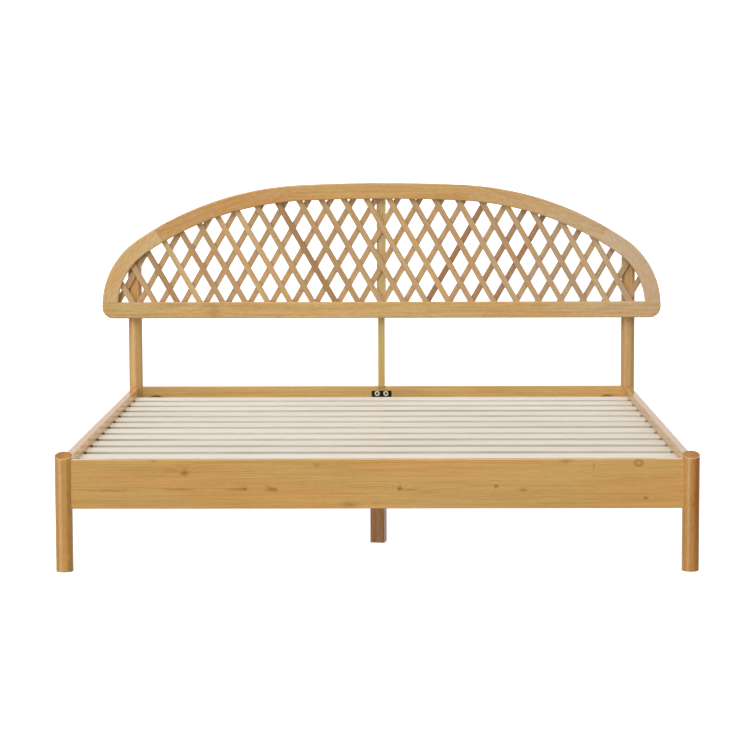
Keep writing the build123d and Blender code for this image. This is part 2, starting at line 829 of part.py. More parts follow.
with BuildPart() as lattice_front_sticks:
    with BuildSketch(headboard_plane.offset(stick_thickness)):
        with Locations((front_stick_shift, bottom_rail_top)):
            with GridLocations(front_stick_pitch, 0, front_stick_count, 1):
                Rectangle(stick_width, stick_reach, rotation=stick_lean)
        add(lattice_field.sketch_local, mode=Mode.INTERSECT)
    extrude(amount=stick_thickness)
lattice_front_sticks.part.label = "lattice_front_sticks"
export_step(lattice_front_sticks.part, "parts/lattice_front_sticks.step")

with BuildPart() as lattice_rear_sticks:
    with BuildSketch(headboard_plane):
        with Locations((rear_stick_shift, bottom_rail_top)):
            with GridLocations(rear_stick_pitch, 0, rear_stick_count, 1):
                Rectangle(stick_width, stick_reach, rotation=-stick_lean)
        add(lattice_field.sketch_local, mode=Mode.INTERSECT)
    extrude(amount=stick_thickness)
lattice_rear_sticks.part.label = "lattice_rear_sticks"
export_step(lattice_rear_sticks.part, "parts/lattice_rear_sticks.step")

# Mullion: a flat bar up the back of the lattice, screwed to the crown and the bottom rail
with BuildPart() as mullion:
    with Locations((0, headboard_back, strut_top)):
        Box(
            mullion_width,
            mullion_thickness,
            mullion_top - strut_top,
            align=(Align.CENTER, Align.MIN, Align.MIN),
        )
    chamfer(mullion.edges().filter_by(Axis.Z), support_edge)
    cut_screw_holes(mullion_screw_places, short_screw_length)
mullion.part.label = "mullion"
export_step(mullion.part, "parts/mullion.step")

# Strut: a post on the head rail that holds up the middle of the headboard
with BuildPart() as strut:
    with Locations((0, headboard_back, rail_top)):
        Box(
            strut_width,
            strut_depth,
            strut_top - rail_top,
            align=(Align.CENTER, Align.MIN, Align.MIN),
        )
    chamfer(strut.edges().filter_by(Axis.Z), support_edge)
    cut_screw_holes([strut_screw_place], long_screw_length)
    with Locations(strut_dowel_place):
        Cylinder(dowel_hole_radius, dowel_hole_length, mode=Mode.SUBTRACT)
strut.part.label = "strut"
export_step(strut.part, "parts/strut.step")

with BuildPart() as strut_dowel:
    with Locations(strut_dowel_place):
        Cylinder(dowel_radius, dowel_length)
strut_dowel.part.label = "strut_dowel"
export_step(strut_dowel.part, "parts/strut_dowel.step")

# Headboard fixings: bolts into threaded inserts, and screws of two lengths
headboard_bolt_seat = post_back - headboard_bolt_recess - headboard_back

with BuildPart() as headboard_bolts:
    with Locations(*[place.offset(headboard_bolt_seat) for place in headboard_bolt_places]):
        Cylinder(
            headboard_bolt_head_diameter / 2,
            headboard_bolt_head_height,
            align=(Align.CENTER, Align.CENTER, Align.MIN),
        )
        Cylinder(
            bolt_diameter / 2,
            headboard_bolt_seat + insert_length,
            align=(Align.CENTER, Align.CENTER, Align.MAX),
        )
headboard_bolts.part.label = "headboard_bolts"
export_step(headboard_bolts.part, "parts/headboard_bolts.step")

with BuildPart() as headboard_inserts:
    with BuildSketch(*headboard_bolt_places):
        Circle(insert_diameter / 2)
        Circle(bolt_hole_radius, mode=Mode.SUBTRACT)
    extrude(amount=-insert_length)
headboard_inserts.part.label = "headboard_inserts"
export_step(headboard_inserts.part, "parts/headboard_inserts.step")

with BuildPart() as headboard_screws:
    add_screws([*post_screw_places, strut_screw_place], long_screw_length)
headboard_screws.part.label = "headboard_screws"
export_step(headboard_screws.part, "parts/headboard_screws.step")

with BuildPart() as mullion_screws:
    add_screws(mullion_screw_places, short_screw_length)
mullion_screws.part.label = "mullion_screws"
export_step(mullion_screws.part, "parts/mullion_screws.step")
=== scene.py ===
import math

import bpy
import numpy as np
from mathutils import Euler, Matrix


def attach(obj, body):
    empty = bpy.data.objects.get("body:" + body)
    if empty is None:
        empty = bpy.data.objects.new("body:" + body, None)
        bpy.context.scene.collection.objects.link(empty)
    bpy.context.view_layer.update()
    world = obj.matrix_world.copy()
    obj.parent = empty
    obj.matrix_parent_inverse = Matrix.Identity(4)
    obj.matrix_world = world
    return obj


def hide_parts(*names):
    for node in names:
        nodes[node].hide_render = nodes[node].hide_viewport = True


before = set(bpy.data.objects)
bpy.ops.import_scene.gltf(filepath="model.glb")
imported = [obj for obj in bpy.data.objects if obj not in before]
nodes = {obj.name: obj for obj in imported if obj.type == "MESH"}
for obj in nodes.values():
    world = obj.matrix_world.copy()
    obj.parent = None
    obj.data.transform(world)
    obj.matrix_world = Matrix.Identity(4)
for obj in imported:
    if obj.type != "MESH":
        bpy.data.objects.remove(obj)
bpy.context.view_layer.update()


# Posts. Four round posts of solid timber, turned, sanded and oiled to a satin honey colour.
# The rails are let into housings in their sides, and the foot posts are cut off on a slant,
# so that their tops show the end of the grain.
post_x = 0.936
post_y = 1.036


def add_node(tree, kind, inputs, **settings):
    """Add one shader node with its options, and set or join each input. Gives the first output."""
    node = tree.nodes.new("ShaderNode" + kind)
    for option, value in settings.items():
        setattr(node, option, value)
    for place, value in inputs.items():
        if isinstance(value, bpy.types.NodeSocket):
            tree.links.new(value, node.inputs[place])
        else:
            node.inputs[place].default_value = value
    return node.outputs[0]


def maths(tree, operation, *values):
    """One step of arithmetic between numbers or sockets."""
    return add_node(tree, "Math", dict(enumerate(values)), operation=operation)


def scaled(tree, vector, along, across):
    """A place in the wood, stretched by one factor along the grain and another across it."""
    return add_node(tree, "VectorMath", {0: vector, 1: (along, across, across)}, operation="MULTIPLY")


def grain_noise(tree, vector, along, across, detail):
    """Noise drawn out along the grain, from 0 to 1, with so many features to a metre each way."""
    stretched = scaled(tree, vector, along, across)
    return add_node(tree, "TexNoise", {"Vector": stretched, "Scale": 1.0, "Detail": detail})


def spread(tree, value, low, high, to_low, to_high):
    """Carry a value smoothly from one range on to another."""
    limits = {1: low, 2: high, 3: to_low, 4: to_high}
    return add_node(tree, "MapRange", {0: value, **limits}, interpolation_type="SMOOTHSTEP")


def blend_colours(tree, share, first, second):
    """One colour over another, by a share from 0 to 1."""
    mix = tree.nodes.new("ShaderNodeMix")
    mix.data_type = "RGBA"
    tree.links.new(share, mix.inputs[0])
    for place, colour in ((6, first), (7, second)):
        if isinstance(colour, bpy.types.NodeSocket):
            tree.links.new(colour, mix.inputs[place])
        else:
            mix.inputs[place].default_value = (*colour, 1.0)
    return mix.outputs[2]


def length_of(tree, vector):
    """The length of a vector."""
    node = tree.nodes.new("ShaderNodeVectorMath")
    node.operation = "LENGTH"
    tree.links.new(vector, node.inputs[0])
    return node.outputs["Value"]


def faded(tree, first, second, start, end):
    """A colour that changes to a second one between two places across the bed."""
    place = tree.nodes.new("ShaderNodeSeparateXYZ")
    tree.links.new(tree.nodes.new("ShaderNodeTexCoord").outputs["Object"], place.inputs[0])
    return blend_colours(tree, spread(tree, place.outputs["X"], start, end, 0.0, 1.0), first, second)


def lay_over(material, share, colour):
    """Lay a second colour over a finished surface, by a share from 0 to 1."""
    base = material.node_tree.nodes["Principled BSDF"].inputs["Base Color"]
    covered = blend_colours(material.node_tree, share, base.links[0].from_socket, colour)
    material.node_tree.links.new(covered, base)


knot_brown = (0.31, 0.115, 0.012)
wave_height = (0.0, 0.024, 0.024)
towards_red = (1.03, 0.90, 0.78)
late_start = 0.25
late_end = 0.88
ring_depth = 0.30
streak_depth = 1.3
drift_depth = 0.5
fibre_depth = 0.45
pore_depth = 0.16


def wood_surface(material, wood, tone, light, dark, ring_width, figure, roughness, coat, coat_roughness,
                 redness, flecks=0.0, knots=None, swell=0.0, knot_colour=knot_brown):
    """Oiled wood. The distance from the heart of the log, bent by slow waves and pushed out round each
    knot, is divided into rings that darken towards their outer edge. Streaks, fibres, pores, short flecks
    and a slow drift along the grain change the depth of colour between light and dark, a second drift
    turns it towards red, and the same values roughen the surface and raise its grain. The coat is the film
    of the finish on top."""
    tree = material.node_tree
    waves = tree.nodes.new("ShaderNodeTexNoise")
    waves.inputs["Scale"].default_value = 1.0
    waves.inputs["Detail"].default_value = 2.0
    tree.links.new(scaled(tree, wood, 1.6, 9.0), waves.inputs["Vector"])
    bend = add_node(tree, "VectorMath", {0: waves.outputs["Color"], 1: wave_height}, operation="MULTIPLY")
    from_heart = add_node(tree, "VectorMath", {0: scaled(tree, wood, 0.0, 1.0), 1: bend}, operation="ADD")
    distance = length_of(tree, from_heart)
    fibres = grain_noise(tree, wood, 14.0, 520.0, 3.0)
    streaks = grain_noise(tree, wood, 3.0, 150.0, 4.0)
    drift = grain_noise(tree, wood, 1.3, 6.0, 1.0)
    blush = grain_noise(tree, wood, 2.1, 11.0, 1.0)
    pores = spread(tree, grain_noise(tree, wood, 45.0, 1100.0, 1.0), 0.60, 0.72, 0.0, 1.0)
    count = maths(tree, "MULTIPLY_ADD", distance, 1.0 / ring_width, fibres)
    count = maths(tree, "ADD", count, swell)
    ring = maths(tree, "FRACT", count)
    darkening = spread(tree, ring, late_start, late_end, 0.0, 1.0)
    ending = spread(tree, ring, late_end, 1.0, 1.0, 0.0)
    late = maths(tree, "MULTIPLY", darkening, ending)
    depth = maths(tree, "MULTIPLY_ADD", late, ring_depth * figure, tone)
    for value, share in ((streaks, streak_depth * figure), (drift, drift_depth), (fibres, fibre_depth)):
        depth = maths(tree, "MULTIPLY_ADD", maths(tree, "SUBTRACT", value, 0.5), share, depth)
    depth = maths(tree, "MULTIPLY_ADD", pores, pore_depth, depth)
    if flecks:
        short = grain_noise(tree, wood, 55.0, 210.0, 2.0)
        depth = maths(tree, "MULTIPLY_ADD", spread(tree, short, 0.35, 0.65, -1.0, 1.0), flecks, depth)
    depth = add_node(tree, "Clamp", {0: depth})
    colour = blend_colours(tree, depth, light, dark)
    redder = add_node(tree, "VectorMath", {0: colour, 1: towards_red}, operation="MULTIPLY")
    colour = blend_colours(tree, spread(tree, blush, 0.40, 0.68, 0.0, redness), colour, redder)
    if knots is not None:
        colour = blend_colours(tree, knots, colour, knot_colour)
    shader = tree.nodes["Principled BSDF"]
    tree.links.new(colour, shader.inputs["Base Color"])
    rough = spread(tree, fibres, 0.3, 0.7, roughness - 0.05, roughness + 0.07)
    tree.links.new(rough, shader.inputs["Roughness"])
    shader.inputs["Specular IOR Level"].default_value = 0.4
    shader.inputs["Coat Weight"].default_value = coat
    shader.inputs["Coat Roughness"].default_value = coat_roughness
    height = maths(tree, "MULTIPLY_ADD", late, 0.35, maths(tree, "MULTIPLY_ADD", pores, -0.4, fibres))
    bump = add_node(tree, "Bump", {"Height": height, "Strength": 0.22, "Distance": 0.0006})
    tree.links.new(bump, shader.inputs["Normal"])


def sawn_wood(material, turn, heart):
    """A place in the log that a board was sawn from: its long way is turned on to the first axis, and the
    heart of the log runs along that axis, so many metres to the side of the board."""
    coordinates = material.node_tree.nodes.new("ShaderNodeTexCoord")
    return add_node(
        material.node_tree, "Mapping",
        {"Vector": coordinates.outputs["Object"], "Rotation": turn, "Location": heart},
    )


def facing(material, way, low, high):
    """How far a surface faces along a line, either way: the size of the cosine between its normal and the
    line, carried smoothly from low, where it counts as nothing, to high."""
    tree = material.node_tree
    normal = tree.nodes.new("ShaderNodeTexCoord").outputs["Normal"]
    cosine = tree.nodes.new("ShaderNodeVectorMath")
    cosine.operation = "DOT_PRODUCT"
    cosine.inputs[1].default_value = way
    tree.links.new(normal, cosine.inputs[0])
    return spread(tree, maths(tree, "ABSOLUTE", cosine.outputs["Value"]), low, high, 0.0, 1.0)


def knot_field(tree, marks):
    """The dark of a board's knots, and how far each pushes the rings aside. A knot is a ragged ellipse on the
    face, given as its place across and up, its two half lengths, its strength, and 1 where only its rim is
    dark or else 0. Both values fall off as a bell curve, the second three times as wide."""
    coordinates = tree.nodes.new("ShaderNodeTexCoord").outputs["Object"]
    noise = tree.nodes.new("ShaderNodeTexNoise")
    noise.inputs["Scale"].default_value = 90.0
    tree.links.new(coordinates, noise.inputs["Vector"])
    raggedness = (0.014, 0.0, 0.007)
    ragged = add_node(tree, "VectorMath", {0: noise.outputs["Color"], 1: raggedness, 2: coordinates},
                      operation="MULTIPLY_ADD")
    dark_spots, swell = 0.0, 0.0
    for across, up, half_length, half_height, strength, hollow in marks:
        reach = (1.0 / half_length, 0.0, 1.0 / half_height)
        back = (-(across + raggedness[0] / 2) / half_length, 0.0, -(up + raggedness[2] / 2) / half_height)
        offset = add_node(tree, "VectorMath", {0: ragged, 1: reach, 2: back}, operation="MULTIPLY_ADD")
        size = length_of(tree, offset)
        rim = maths(tree, "MULTIPLY", maths(tree, "SUBTRACT", size, hollow), 1.0 + hollow)
        spot = maths(tree, "EXPONENT", maths(tree, "MULTIPLY", maths(tree, "MULTIPLY", rim, rim), -1.0))
        push = maths(tree, "EXPONENT", maths(tree, "MULTIPLY", maths(tree, "MULTIPLY", size, size), -0.11))
        dark_spots = maths(tree, "MULTIPLY_ADD", spot, strength, dark_spots)
        swell = maths(tree, "MULTIPLY_ADD", push, 2.2 * strength, swell)
    return add_node(tree, "Clamp", {0: dark_spots}), swell


def worn_and_shaded_edges(material, through):
    """The band along a board's edges, which wears paler with handling, or takes painted shade of its rounding
    where the wear is set positive: full where the surface turns from the board's face, which looks through
    its thickness, to its edge, and nothing on either."""
    tree = material.node_tree
    off_edge = facing(material, through, 0.05, 0.35)
    on_face = facing(material, through, 0.75, 0.98)
    return maths(tree, "MULTIPLY", off_edge, maths(tree, "SUBTRACT", 1.0, on_face))


def finish_board(name, turn, heart, light, dark, ring_width=0.005, figure=1.0, roughness=0.42, tone=0.3,
                 coat=0.8, coat_roughness=0.16, redness=1.0, flecks=0.0, through=(0.0, 1.0, 0.0), marks=(),
                 mark_colour=knot_brown, end_tone=0.55, edge_tone=0.0, wear=-0.2, fade=None):
    """Give one board its own oiled finish. Its end grain, where the surface faces along the board, takes in
    more oil and is darker by the end tone. Its edges are worn paler by a negative wear, and a positive wear
    darkens them as painted shade of their rounding. Its narrow sides may have a tone of their own. With a
    fade, both colours change to a second pair between two places across the bed. Gives the material."""
    material = bpy.data.materials.new(name + "_finish")
    material.use_nodes = True
    tree = material.node_tree
    wood = sawn_wood(material, turn, heart)
    along = tuple(Euler(turn).to_matrix()[0])
    tone = maths(tree, "MULTIPLY_ADD", facing(material, along, 0.5, 0.95), end_tone, tone)
    tone = maths(tree, "MULTIPLY_ADD", worn_and_shaded_edges(material, through), wear, tone)
    if edge_tone:
        tone = maths(tree, "MULTIPLY_ADD", facing(material, through, 0.05, 0.35), -edge_tone, tone)
        tone = maths(tree, "ADD", tone, edge_tone)
    if fade:
        fade_start, fade_end, second_light, second_dark = fade
        light = faded(tree, light, second_light, fade_start, fade_end)
        dark = faded(tree, dark, second_dark, fade_start, fade_end)
    knots, swell = knot_field(tree, marks) if marks else (None, 0.0)
    wood_surface(material, wood, tone, light, dark, ring_width, figure, roughness, coat, coat_roughness,
                 redness, flecks, knots, swell, mark_colour)
    nodes[name].data.materials.clear()
    nodes[name].data.materials.append(material)
    return material


def paint_light_on_top_rim(material, middle_x):
    """Painted light on the eased rim of a foot post's slanted top: a ring at some distance from the post's
    middle line, where the surface looks up, painted dark as shade at the back, where it turns from the light,
    and painted pale as a highlight in front."""
    tree = material.node_tree
    place = tree.nodes.new("ShaderNodeTexCoord").outputs["Object"]
    offset = add_node(tree, "VectorMath", {0: place, 1: (1.0, 1.0, 0.0), 2: (-middle_x, post_y, 0.0)},
                      operation="MULTIPLY_ADD")
    parts = tree.nodes.new("ShaderNodeSeparateXYZ")
    tree.links.new(offset, parts.inputs[0])
    front = spread(tree, parts.outputs["Y"], -rim_front, 0.0, 1.0, 0.0)
    ring = spread(tree, length_of(tree, offset), rim_inner, rim_outer, 0.0, rim_share)
    ring = maths(tree, "MULTIPLY", ring, facing(material, (0.0, 0.0, 1.0), 0.5, 0.9))
    lay_over(material, ring, blend_colours(tree, front, back_rim_shade, front_rim_highlight))


upright = (0.0, math.radians(90), 0.0)
rim_inner = 0.0215
rim_outer = 0.0245
rim_front = 0.016
rim_share = 0.7
# Painted shade for the back of a foot post's top rim, and a painted highlight for its front.
back_rim_shade = (0.22, 0.115, 0.060)
front_rim_highlight = (0.80, 0.560, 0.310)
foot_post_light = (0.715, 0.415, 0.125)
foot_post_dark = (0.43, 0.165, 0.018)
right_post_light = (0.70, 0.402, 0.120)
right_post_dark = (0.41, 0.156, 0.017)
left_mark = (0.80, 0.365, 0.065)
# The right foot post's streak colour: partly its own dark wood, partly painted shade on its shaded right
# side.
right_mark_and_shade = (0.40, 0.122, 0.003)
# The head posts' colours are paler than the foot posts': partly their own wood, partly painted light that
# lifts the shade they stand in behind the headboard.
head_post_light = (0.74, 0.505, 0.208)
head_post_dark = (0.45, 0.240, 0.064)
head_right_light = (0.75, 0.490, 0.205)
head_right_dark = (0.46, 0.225, 0.064)
patch_spacing = 0.041
left_patches = tuple((-0.924, 0.05 + patch_spacing * step, 0.013, 0.016, 0.45, 0) for step in range(9))
# The long streak runs down the right foot post's right side, turned from the light: partly a streak in the
# wood, partly painted shade.
right_streak_and_shade = ((0.951, 0.22, 0.011, 0.240, 0.92, 0), (0.941, 0.205, 0.003, 0.006, 0.50, 0))
heart_behind = 0.028
heart_beside = 0.017

# For each post: its side and end of the bed, where it starts in its log, its colours, its tones on the
# side and on the end grain, and its marks.
for name, side, end, start, light, dark, tone, end_tone, marks, mark_colour in (
    ("foot_post_left", -1, -1, 0.0, foot_post_light, foot_post_dark, 0.34, 0.80, left_patches, left_mark),
    ("foot_post_right", 1, -1, 3.1, right_post_light, right_post_dark, 0.43, 0.30, right_streak_and_shade, right_mark_and_shade),
    ("head_post_left", -1, 1, 5.7, head_post_light, head_post_dark, 0.28, 0.55, (), None),
    ("head_post_right", 1, 1, 9.2, head_right_light, head_right_dark, 0.32, 0.55, (), None),
):
    heart = (start, -end * post_y + heart_behind, side * post_x + heart_beside)
    post_material = finish_board(
        name, upright, heart, light, dark, ring_width=0.004, figure=0.9, tone=tone, coat=0.5,
        coat_roughness=0.12, flecks=0.08, through=(0.0, 0.0, 1.0), marks=marks, mark_colour=mark_colour,
        end_tone=end_tone,
    )
    if end < 0:
        paint_light_on_top_rim(post_material, side * post_x)


# Rails. Four planed boards on edge, of the same oiled timber, with softened edges. Each end is let
# into a post and drawn up by a bolt from a round pocket on the inner face.
rail_light = (0.75, 0.455, 0.140)
rail_dark = (0.48, 0.243, 0.050)
head_rail_light = (0.76, 0.475, 0.165)
head_rail_dark = (0.50, 0.264, 0.068)
# The left rail's colours are paler than the other rails': painted light for the sheen and the light from the
# slats on its inner face.
left_rail_lit_light = (0.80, 0.475, 0.138)
left_rail_lit_dark = (0.54, 0.275, 0.054)
lengthways = (0.0, 0.0, math.radians(-90))
finish_board(
    "foot_rail", (0.0, math.radians(0.4), math.radians(0.5)), (1.0, 1.17, 0.42), rail_light, rail_dark,
    ring_width=0.007, figure=0.85, tone=0.23, coat_roughness=0.07, redness=0.7, flecks=0.05,
    marks=(
        (-0.573, 0.298, 0.011, 0.0075, 0.90, 0), (-0.610, 0.306, 0.026, 0.004, 0.30, 0),
        (-0.664, 0.334, 0.012, 0.004, 0.47, 0), (-0.800, 0.245, 0.060, 0.0035, 0.51, 0),
        (-0.590, 0.248, 0.040, 0.0035, 0.51, 0), (-0.420, 0.249, 0.030, 0.0035, 0.54, 0),
        (-0.397, 0.248, 0.007, 0.005, 0.68, 0), (-0.318, 0.249, 0.014, 0.006, 0.68, 0),
        (-0.304, 0.246, 0.006, 0.005, 0.54, 0), (-0.180, 0.320, 0.007, 0.004, 0.47, 0),
        (-0.082, 0.202, 0.022, 0.007, 0.55, 0), (0.068, 0.250, 0.007, 0.005, 0.95, 0),
        (0.098, 0.246, 0.020, 0.003, 0.54, 0), (0.150, 0.240, 0.030, 0.004, 0.30, 0),
        (0.354, 0.257, 0.006, 0.005, 0.88, 0), (0.435, 0.246, 0.010, 0.005, 0.54, 0),
        (0.5625, 0.333, 0.018, 0.005, 0.51, 0), (0.644, 0.316, 0.002, 0.009, 0.54, 0),
        (0.777, 0.326, 0.010, 0.008, 0.61, 1), (0.801, 0.221, 0.007, 0.005, 0.68, 0),
    ),
)
finish_board(
    "head_rail", (0.0, math.radians(-0.4), math.radians(0.4)), (4.3, -0.93, 0.45), head_rail_light,
    head_rail_dark, ring_width=0.006, tone=0.18, coat_roughness=0.07, redness=0.5, flecks=0.05,
)
# The left rail also takes a lighter tone: painted light for its bright inner face.
for name, side, start, light, dark, tone in (
    ("side_rail_left", -1, 7.7, left_rail_lit_light, left_rail_lit_dark, 0.22),
    ("side_rail_right", 1, 12.4, rail_light, rail_dark, 0.30),
):
    finish_board(name, lengthways, (start, side * post_x + 0.10, 0.45), light, dark, ring_width=0.008,
                 tone=tone, coat=0.65, coat_roughness=0.07, through=(1.0, 0.0, 0.0), edge_tone=0.9)


# Rail joints. Plated steel bolts, half-moon washers and hexagon nuts, one of each at both ends of
# every rail. They sit in the pockets, and a spanner reaches them from inside the bed.
def finish_metal(names, colour, metallic, roughness, grain, wear, shine=0.5):
    """Metal or coated metal: a fine cloudy noise shifts the colour and the roughness a little, and a finer
    one gives the surface its tooth. Gives the material."""
    material = bpy.data.materials.new(names[0] + "_finish")
    material.use_nodes = True
    tree = material.node_tree
    place = tree.nodes.new("ShaderNodeTexCoord").outputs["Object"]
    clouds = grain_noise(tree, place, 60.0, 60.0, 4.0)
    tooth = grain_noise(tree, place, grain, grain, 2.0)
    shader = tree.nodes["Principled BSDF"]
    worn = tuple(min(1.0, part + wear) for part in colour)
    tree.links.new(blend_colours(tree, clouds, colour, worn), shader.inputs["Base Color"])
    rough = spread(tree, clouds, 0.3, 0.7, roughness - 0.06, roughness + 0.08)
    tree.links.new(rough, shader.inputs["Roughness"])
    shader.inputs["Metallic"].default_value = metallic
    shader.inputs["Specular IOR Level"].default_value = shine
    bump = add_node(tree, "Bump", {"Height": tooth, "Strength": 0.12, "Distance": 0.0002})
    tree.links.new(bump, shader.inputs["Normal"])
    for name in names:
        nodes[name].data.materials.clear()
        nodes[name].data.materials.append(material)
    return material


zinc = (0.60, 0.59, 0.56)


def finish_zinc(names, roughness=0.34):
    """Zinc plated steel: the metal finish above in pale grey, bright and a little cloudy."""
    finish_metal(names, zinc, metallic=1.0, roughness=roughness, grain=900.0, wear=0.12)


finish_zinc(("rail_bolts", "rail_washers", "rail_nuts"))


# Ledgers. Two strips of timber, screwed to the inner faces of the side rails, that carry the ends of the
# slats. Their very dark brown colour is painted shade, for the gaps at the slat ends.
ledger_shade_light = (0.17, 0.080, 0.032)
ledger_shade_dark = (0.08, 0.035, 0.014)
for name, side, start in (("ledger_left", -1, 2.2), ("ledger_right", 1, 6.1)):
    finish_board(name, lengthways, (start, side * 0.91 + 0.07, -0.20), ledger_shade_light, ledger_shade_dark, figure=0.7,
                 roughness=0.6, coat=0.1, through=(1.0, 0.0, 0.0))
finish_zinc(("ledger_screws",), roughness=0.36)


# Centre support. A beam under the middle of the slats on two square legs, all of darker reddish
# timber. Each leg screws up into the beam on a hidden bolt, and stops a little off square.
support_light = (0.53, 0.247, 0.070)
support_dark = (0.27, 0.108, 0.028)
finish_board("centre_beam", lengthways, (3.3, 0.06, -0.19), support_light, support_dark, coat=0.2,
             through=(1.0, 0.0, 0.0))
for name, place, start in (("centre_leg_foot_end", -0.513, 0.0), ("centre_leg_head_end", 0.513, 4.0)):
    finish_board(name, upright, (start, -place + 0.05, 0.02), support_light, support_dark, ring_width=0.004,
                 figure=1.5, coat=0.2, redness=0.5, flecks=0.1)
finish_zinc(("leg_bolts",))


# Beam brackets. Bent plates of black coated steel, each held to an end rail by two steel bolts with
# round heads, that carry the ends of the beam.
bracket_black = (0.008, 0.005, 0.003)
finish_metal(("head_bracket", "foot_bracket"), bracket_black, metallic=0.0, roughness=0.65, grain=1500.0,
             wear=0.006, shine=0.2)
bracket_bolt_x = 0.0165
bracket_bolt_z = 0.311
socket_radius = 0.0042
socket_rim = 0.0062
socket_shadow = (0.20, 0.135, 0.085)
bolt_steel = (0.86, 0.79, 0.66)
bolt_finish = finish_metal(("bracket_bolts",), bolt_steel, metallic=0.3, roughness=0.40, grain=900.0,
                           wear=0.08)


def darken_sockets(material):
    """Painted shadow in each bolt's hexagon socket: the distance from the nearer bolt's middle, across and
    up, carried from full painted shadow in the socket to none on the rim of the head."""
    tree = material.node_tree
    place = tree.nodes.new("ShaderNodeTexCoord").outputs["Object"]
    mirrored = add_node(tree, "VectorMath", {0: place}, operation="ABSOLUTE")
    to_bolt = (-bracket_bolt_x, 0.0, -bracket_bolt_z)
    offset = add_node(tree, "VectorMath", {0: mirrored, 1: (1.0, 0.0, 1.0), 2: to_bolt},
                      operation="MULTIPLY_ADD")
    shadow = spread(tree, length_of(tree, offset), socket_radius, socket_rim, 1.0, 0.0)
    lay_over(material, shadow, socket_shadow)


darken_sockets(bolt_finish)


# Slats. Twelve planed softwood boards, left pale, laid across the ledgers and the beam with a gap
# between them. Each is screwed down at both ends, and each has its own depth of colour.
slat_light = (0.86, 0.810, 0.705)
slat_dark = (0.56, 0.500, 0.400)
slat_count = 12
slat_run = 1.779
slat_pitch = slat_run / (slat_count - 1)
first_slat_y = -0.904
slat_material = bpy.data.materials.new("slat_finish")
slat_material.use_nodes = True
slat_tree = slat_material.node_tree
slat_place = slat_tree.nodes.new("ShaderNodeTexCoord").outputs["Object"]
slat_parts = slat_tree.nodes.new("ShaderNodeSeparateXYZ")
slat_tree.links.new(slat_place, slat_parts.inputs[0])
slat_number = maths(slat_tree, "ROUND", maths(
    slat_tree, "MULTIPLY_ADD", slat_parts.outputs["Y"], 1 / slat_pitch, -first_slat_y / slat_pitch))
slat_draw = slat_tree.nodes.new("ShaderNodeTexWhiteNoise")
slat_draw.noise_dimensions = "1D"
slat_tree.links.new(slat_number, slat_draw.inputs["W"])
log_jump = (9.0, 0.05, 0.03)
slat_heart = (0.0, 0.0, -0.22)
slat_shift = add_node(slat_tree, "VectorMath", {0: slat_draw.outputs["Color"], 1: log_jump, 2: slat_place},
                      operation="MULTIPLY_ADD")
slat_wood = add_node(slat_tree, "VectorMath", {0: slat_shift, 1: slat_heart}, operation="ADD")
slat_tone = spread(slat_tree, slat_draw.outputs["Value"], 0.0, 1.0, 0.04, 0.15)
# Painted shade: the slats deepen in tone towards the right, away from the light from the left.
right_painted_shade = spread(slat_tree, slat_parts.outputs["X"], -0.2, 0.9, 0.0, 0.13)
slat_tone = maths(slat_tree, "ADD", slat_tone, right_painted_shade)
# Painted shade on the slats' front and back edges, which face into the gaps: deeper by a level drawn for each
# slat and by slow clouds along it.
slat_front = facing(slat_material, (0.0, 1.0, 0.0), 0.3, 0.9)
slat_chance = slat_tree.nodes.new("ShaderNodeSeparateXYZ")
slat_tree.links.new(slat_draw.outputs["Color"], slat_chance.inputs[0])
edge_shade_clouds = grain_noise(slat_tree, slat_shift, 2.5, 4.0, 1.0)
edge_shade_level = spread(slat_tree, slat_chance.outputs["Y"], 0.0, 1.0, 0.0, 0.42)
slat_edge_shade = maths(slat_tree, "MULTIPLY_ADD", edge_shade_clouds, 0.5, edge_shade_level)
slat_tone = maths(slat_tree, "MULTIPLY_ADD", slat_front, slat_edge_shade, slat_tone)
wood_surface(slat_material, slat_wood, slat_tone, slat_light, slat_dark, ring_width=0.007, figure=0.45,
             roughness=0.55, coat=0.0, coat_roughness=0.3, redness=0.12)

# Painted shadow: a slat's long edges are darkened at their ends, where they meet the rails, more so on the
# left.
slat_reach = 0.9235
shadow_start = slat_reach - 0.007
shadow_full = slat_reach - 0.004
slat_end_shadow = (0.17, 0.100, 0.052)
from_middle = maths(slat_tree, "ABSOLUTE", slat_parts.outputs["X"])
slat_end = spread(slat_tree, from_middle, shadow_start, shadow_full, 0.0, 1.0)
right_weaker = spread(slat_tree, slat_parts.outputs["X"], -0.5, 0.5, 1.0, 0.6)
slat_end = maths(slat_tree, "MULTIPLY", slat_end, right_weaker)
lay_over(slat_material, maths(slat_tree, "MULTIPLY", slat_end, slat_front), slat_end_shadow)
for number in range(1, slat_count + 1):
    slat = nodes["slat_%02d" % number]
    slat.data.materials.clear()
    slat.data.materials.append(slat_material)
finish_zinc(("slat_screws",), roughness=0.36)


# Headboard frame. A bottom rail and an arch of five boards, dowelled end to end. The front edges are
# rounded over. The boards come from different planks, so the colour changes at each joint.
def sawn_on_slope(angle):
    """The turn that lays a board's slope in the headboard, in degrees up to the right, along the grain."""
    return (0.0, math.radians(angle), 0.0)


